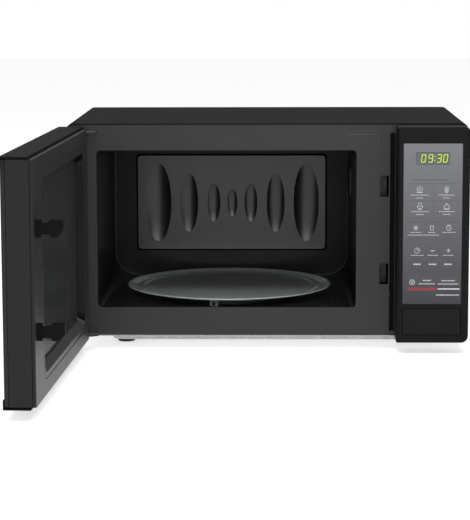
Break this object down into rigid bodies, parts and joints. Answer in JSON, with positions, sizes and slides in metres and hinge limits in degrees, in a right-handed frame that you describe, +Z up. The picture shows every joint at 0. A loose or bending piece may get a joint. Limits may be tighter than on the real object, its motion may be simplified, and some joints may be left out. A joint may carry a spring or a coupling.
{
  "type": "microwave oven",
  "caption": "Countertop microwave oven with a left-hinged door standing open, glass turntable, latch hooks and a right-hand membrane control panel.",
  "frame": {"origin": "bottom centre of the box round the whole oven with its door open, at the level the feet stand on", "axes": "+X to the right as one faces the oven, +Y from the door towards the back, +Z up"},
  "size_m": [0.4804, 0.6598, 0.259],
  "materials": {
    "cabinet_paint": "satin black powder coat, fine grain",
    "enamel": "charcoal baked enamel, semi-matte",
    "galvanised_steel": "galvanised sheet, dull",
    "steel": "plain bright steel",
    "copper": "enamelled copper",
    "capacitor_can": "drawn aluminium can",
    "foot_rubber": "moulded rubber",
    "black_plastic": "moulded, matte",
    "white_plastic": "natural moulded plastic",
    "mica": "layered mica sheet",
    "tray_glass": "clear tempered glass, slightly green",
    "lamp_glass": "clear bulb",
    "circuit_board": "green solder mask",
    "panel_plastic": "black, fine satin grain with gloss edge",
    "button_plastic": "black, smooth",
    "keypad_film": "printed silver-grey film, fading darker downwards",
    "display_lens": "smoked lens",
    "display_glow": "lit yellow-green digits",
    "door_plastic": "fine-textured black plastic",
    "choke_plastic": "fine-textured dark grey plastic",
    "black_glass": "gloss black tempered glass",
    "window_film": "gloss dark film over a fine perforated screen"
  },
  "bodies": {
    "oven": {"base_plate": "galvanised_steel", "button_spring": "steel", "cabinet_wrap": "cabinet_paint", "cavity_back": "enamel", "cavity_lamp": "lamp_glass", "cavity_shell": "enamel", "control_board": "circuit_board", "control_housing": "panel_plastic", "cord_gland": "black_plastic", "cover_screw_left": "steel", "cover_screw_right": "steel", "display_lens": "display_lens", "display_module": "display_glow", "fan_motor": "steel", "fan_shroud": "black_plastic", "filter_board": "circuit_board", "foot_front_left": "foot_rubber", "foot_front_right": "foot_rubber", "foot_rear_left": "foot_rubber", "foot_rear_right": "foot_rubber", "front_flange": "enamel", "high_voltage_capacitor": "capacitor_can", "hinge_bracket_lower": "galvanised_steel", "hinge_bracket_upper": "galvanised_steel", "keypad_overlay": "keypad_film", "lamp_holder": "white_plastic", "latch_bracket": "black_plastic", "magnetron_anode": "copper", "magnetron_yoke": "galvanised_steel", "microswitch_lower": "black_plastic", "microswitch_middle": "black_plastic", "microswitch_upper": "black_plastic", "primary_winding": "copper", "rear_panel": "galvanised_steel", "secondary_winding": "copper", "thermal_cutout": "black_plastic", "transformer_core": "steel", "turntable_motor": "galvanised_steel", "waveguide": "galvanised_steel", "waveguide_cover": "mica"},
    "door": {"choke_cover": "choke_plastic", "door_cap_bottom": "door_plastic", "door_cap_top": "door_plastic", "door_frame": "door_plastic", "door_glass": "black_glass", "door_screen": "galvanised_steel", "hinge_pin_lower": "steel", "hinge_pin_upper": "steel", "latch_spring": "steel", "window_film": "window_film"},
    "latch": {"latch_hooks": "black_plastic"},
    "turntable_drive": {"drive_coupler": "black_plastic"},
    "tray": {"glass_tray": "tray_glass"},
    "roller_support": {"roller_ring": "black_plastic"},
    "roller_body_1": {"roller_1": "white_plastic"},
    "roller_body_2": {"roller_2": "white_plastic"},
    "roller_body_3": {"roller_3": "white_plastic"},
    "fan": {"cooling_fan": "white_plastic"},
    "open_button": {"door_open_button": "button_plastic"},
    "open_lever": {"door_open_lever": "white_plastic"}
  },
  "joints": [
    {"name": "door_swing", "type": "hinge", "parent": "oven", "child": "door", "pos_m": [-0.20445, 0.03225, 0.133], "axis": [0, 0, 1], "range_deg": [-8, 92.6]},
    {"name": "latch_lift", "type": "slide", "parent": "door", "child": "latch", "axis": [0, 0, 1], "range_m": [0, 0.004], "stiffness_N_per_m": 200, "springref_m": -0.008, "deforming": ["latch_spring"]},
    {"name": "turntable_spin", "type": "hinge", "parent": "oven", "child": "turntable_drive", "pos_m": [-0.0335, 0.17465, 0.041], "axis": [0, 0, 1], "continuous": true},
    {"name": "tray_lift", "type": "slide", "parent": "turntable_drive", "child": "tray", "axis": [0, 0, 1], "range_m": [0, 0.05]},
    {"name": "roller_ring_spin", "type": "hinge", "parent": "oven", "child": "roller_support", "pos_m": [-0.0335, 0.17465, 0.041], "axis": [0, 0, 1], "continuous": true},
    {"name": "roller_1_spin", "type": "hinge", "parent": "roller_support", "child": "roller_body_1", "pos_m": [0.04934, 0.2048, 0.046], "axis": [0.9397, 0.342, 0], "continuous": true},
    {"name": "roller_2_spin", "type": "hinge", "parent": "roller_support", "child": "roller_body_2", "pos_m": [-0.10102, 0.23132, 0.046], "axis": [-0.766, 0.6428, 0], "continuous": true},
    {"name": "roller_3_spin", "type": "hinge", "parent": "roller_support", "child": "roller_body_3", "pos_m": [-0.0488, 0.08784, 0.046], "axis": [-0.1736, -0.9848, 0], "continuous": true},
    {"name": "fan_spin", "type": "hinge", "parent": "oven", "child": "fan", "pos_m": [0.18325, 0.29215, 0.176], "axis": [0, 1, 0], "continuous": true},
    {"name": "button_press", "type": "slide", "parent": "oven", "child": "open_button", "axis": [0, 1, 0], "range_m": [0, 0.0045], "stiffness_N_per_m": 400, "springref_m": -0.003, "deforming": ["button_spring"]},
    {"name": "lever_tip", "type": "hinge", "parent": "oven", "child": "open_lever", "pos_m": [0.17165, 0.05715, 0.06], "axis": [1, 0, 0], "range_deg": [0, 11]}
  ],
  "couplings": [
    {"joint": "roller_ring_spin", "follows": "turntable_spin", "ratio": 0.5},
    {"joint": "roller_1_spin", "follows": "turntable_spin", "ratio": -8.9949},
    {"joint": "roller_2_spin", "follows": "turntable_spin", "ratio": -8.9949},
    {"joint": "roller_3_spin", "follows": "turntable_spin", "ratio": -8.9949},
    {"joint": "lever_tip", "follows": "button_press", "rad_per_m": 41.667}
  ]
}
